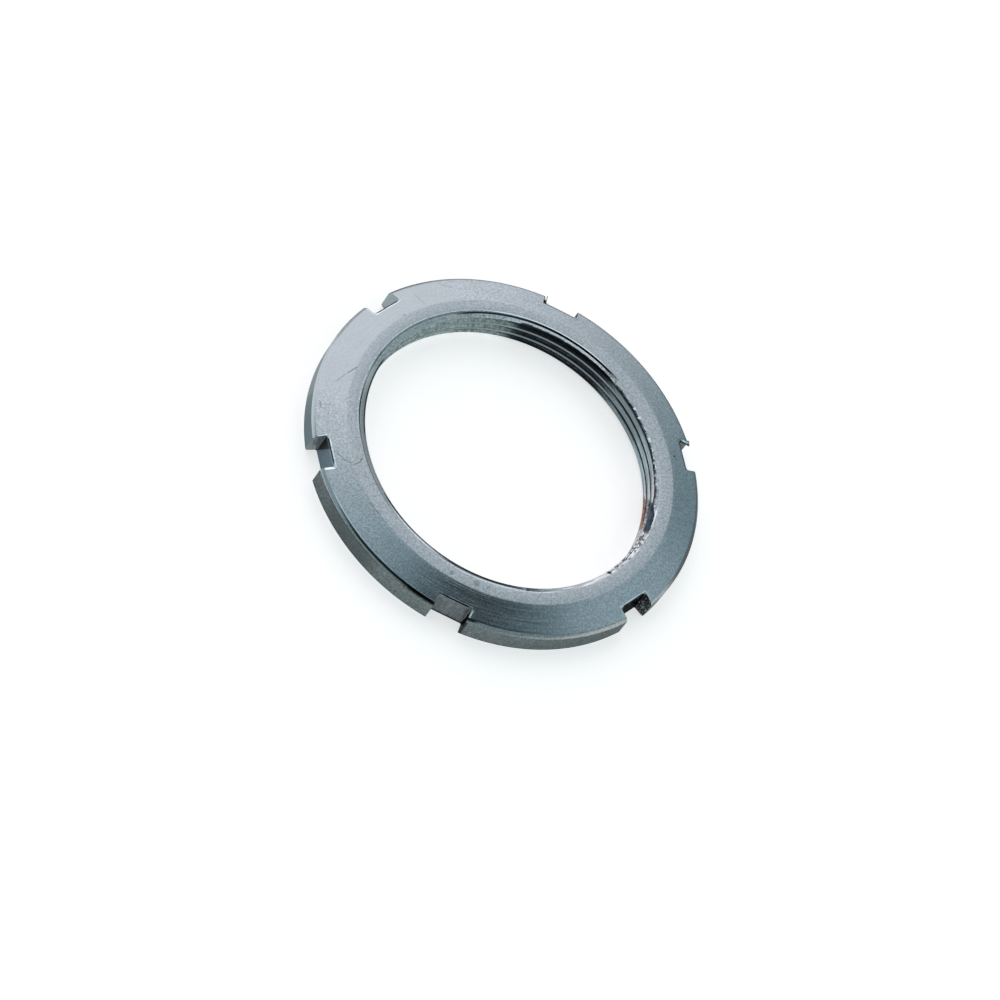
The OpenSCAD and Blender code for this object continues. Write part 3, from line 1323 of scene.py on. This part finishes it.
    def build(self) -> bpy.types.Object:
        """Makes the ring from blank to finish, and puts it in the place of the CAD solid."""
        ring = self.turn_blank()
        self.run_out_of_true(ring)
        self.mill_slots(ring)
        self.cut_thread(ring)
        self.tear_crest(ring)
        self.leave_burrs(ring)
        self.dress(ring)
        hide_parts("lockring")
        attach(ring, "root")
        return ring


@dataclass(frozen=True)
class Panel:
    """A round patch of the light tent: its place and its soft edge in degrees, and its light."""

    azimuth: float
    elevation: float
    inner: float
    outer: float
    light: Colour

    def aim(self) -> tuple[float, float, float]:
        """Gives the direction to its middle."""
        a, e = math.radians(self.azimuth), math.radians(self.elevation)
        return (math.cos(e) * math.cos(a), math.cos(e) * math.sin(a), math.sin(e))


@dataclass
class Studio:
    """The white floor and the light tent round it."""

    floor_r: float = 3.0
    floor_facets: int = 96
    floor_drop: float = 0.02
    lip: float = 0.25
    floor_glow: float = 0.64
    floor_white: float = 0.8
    tent: Colour = (0.31, 0.40, 0.42)
    backdrop: Colour = (1.0, 1.0, 1.0)
    panels: tuple[Panel, ...] = (
        Panel(85.0, 80.0, 4.0, 16.0, (0.47, 0.58, 0.62)),
        Panel(85.0, 31.0, 12.0, 52.0, (1.42, 1.28, 1.28)),
        Panel(142.0, 56.0, 8.0, 22.0, (0.68, 0.78, 0.82)),
        Panel(2.0, 48.0, 9.0, 20.0, (0.60, 0.68, 0.705)),
        Panel(-120.0, 66.0, 19.0, 26.0, (0.03, 0.035, 0.04)),
        Panel(3.0, 75.2, 8.0, 10.6, (0.03, 0.035, 0.04)),
        Panel(-136.0, 42.0, 17.0, 26.0, (0.03, 0.035, 0.04)),
        Panel(-127.0, 17.0, 7.0, 12.0, (0.04, 0.045, 0.05)),
    )

    def lay_floor(self) -> bpy.types.Object:
        """Lays a round white floor whose edge turns up into a low wall.

        Returns:
            The floor.
        """
        bpy.ops.object.select_all(action="DESELECT")
        bpy.ops.mesh.primitive_circle_add(vertices=self.floor_facets, radius=self.floor_r, fill_type="NGON")
        floor = bpy.context.active_object
        floor.name = "floor"
        with editing(floor):
            bpy.ops.mesh.select_all(action="SELECT")
            bpy.ops.transform.translate(value=(0.0, 0.0, -self.floor_drop * MM))
            pick(floor, Pick.EDGES, lambda at, _: True)
            lift = {"value": (0.0, 0.0, self.lip)}
            bpy.ops.mesh.extrude_edges_move(TRANSFORM_OT_translate=lift)
        floor.data.materials.append(self.floor_paint())
        return floor

    def floor_paint(self) -> bpy.types.Material:
        """Makes the floor's white: matt, with a glow that is seen and mirrored but lights nothing."""
        material = bpy.data.materials.new("white_floor")
        graph = Graph(material)
        path = graph.node("ShaderNodeLightPath")
        seen = graph.read(path, "Is Camera Ray")
        for ray in ("Is Glossy Ray", "Is Transmission Ray"):
            seen = graph.math("MAXIMUM", seen, graph.read(path, ray))
        white = (self.floor_white, self.floor_white, self.floor_white, 1.0)
        matt = graph.node("ShaderNodeBsdfDiffuse", None, {"Color": white})
        glow = graph.node("ShaderNodeEmission", None, {"Strength": seen * self.floor_glow})
        both = graph.node("ShaderNodeAddShader", None, {0: graph.read(matt), 1: graph.read(glow)})
        graph.node("ShaderNodeOutputMaterial", None, {"Surface": graph.read(both)})
        return material

    def hang_tent(self) -> None:
        """Hangs the tent: a grey world with pale panels and dark openings, white where it is seen itself."""
        world = bpy.data.worlds.new("light_tent")
        bpy.context.scene.world = world
        graph = Graph(world)
        aim = graph.read(graph.node("ShaderNodeTexCoord"), "Generated")
        light: Value | Colour = self.tent
        for panel in self.panels:
            nearness = graph.vector("DOT_PRODUCT", aim, panel.aim(), output="Value")
            edge = [math.cos(math.radians(angle)) for angle in (panel.outer, panel.inner)]
            light = graph.blend(nearness.between(*edge), light, panel.light)
        seen = graph.read(graph.node("ShaderNodeLightPath"), "Is Camera Ray")
        light = graph.blend(seen, light, self.backdrop)
        shine = graph.node("ShaderNodeBackground", None, {"Color": light, "Strength": 1.0})
        graph.node("ShaderNodeOutputWorld", None, {"Surface": graph.read(shine)})


@dataclass(frozen=True)
class PhotoCamera:
    """The camera of the photograph: a long lens above the ring, rolled a little. Places are in mm."""

    position: tuple[float, float, float] = (-239.9645, -255.2407, 437.6919)
    right: tuple[float, float, float] = (0.903616, -0.207689, 0.374624)
    up: tuple[float, float, float] = (-0.005869, 0.868504, 0.495648)
    lens: float = 198.0
    sensor: float = 36.0

    def set_up(self) -> bpy.types.Object:
        """Adds the camera and makes it the scene's own."""
        data = bpy.data.cameras.new("camera")
        data.lens = self.lens
        data.sensor_width = self.sensor
        camera = bpy.data.objects.new("camera", data)
        bpy.context.scene.collection.objects.link(camera)
        right, up = Vector(self.right).normalized(), Vector(self.up).normalized()
        back = right.cross(up).normalized()
        turn = Matrix((right, up, back)).transposed().to_4x4()
        camera.matrix_world = Matrix.Translation(Vector(self.position) * MM) @ turn
        bpy.context.scene.camera = camera
        return camera


def main() -> None:
    """Builds the ring and its studio."""
    logging.basicConfig(level=logging.INFO, format="%(name)s: %(message)s")
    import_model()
    bpy.context.scene.view_settings.view_transform = "Standard"
    PhotoCamera().set_up()
    studio = Studio()
    studio.lay_floor()
    studio.hang_tent()
    ring = Lockring().build()
    LOG.info("%s: %d faces", ring.name, len(ring.data.polygons))


if __name__ == "__main__":
    main()
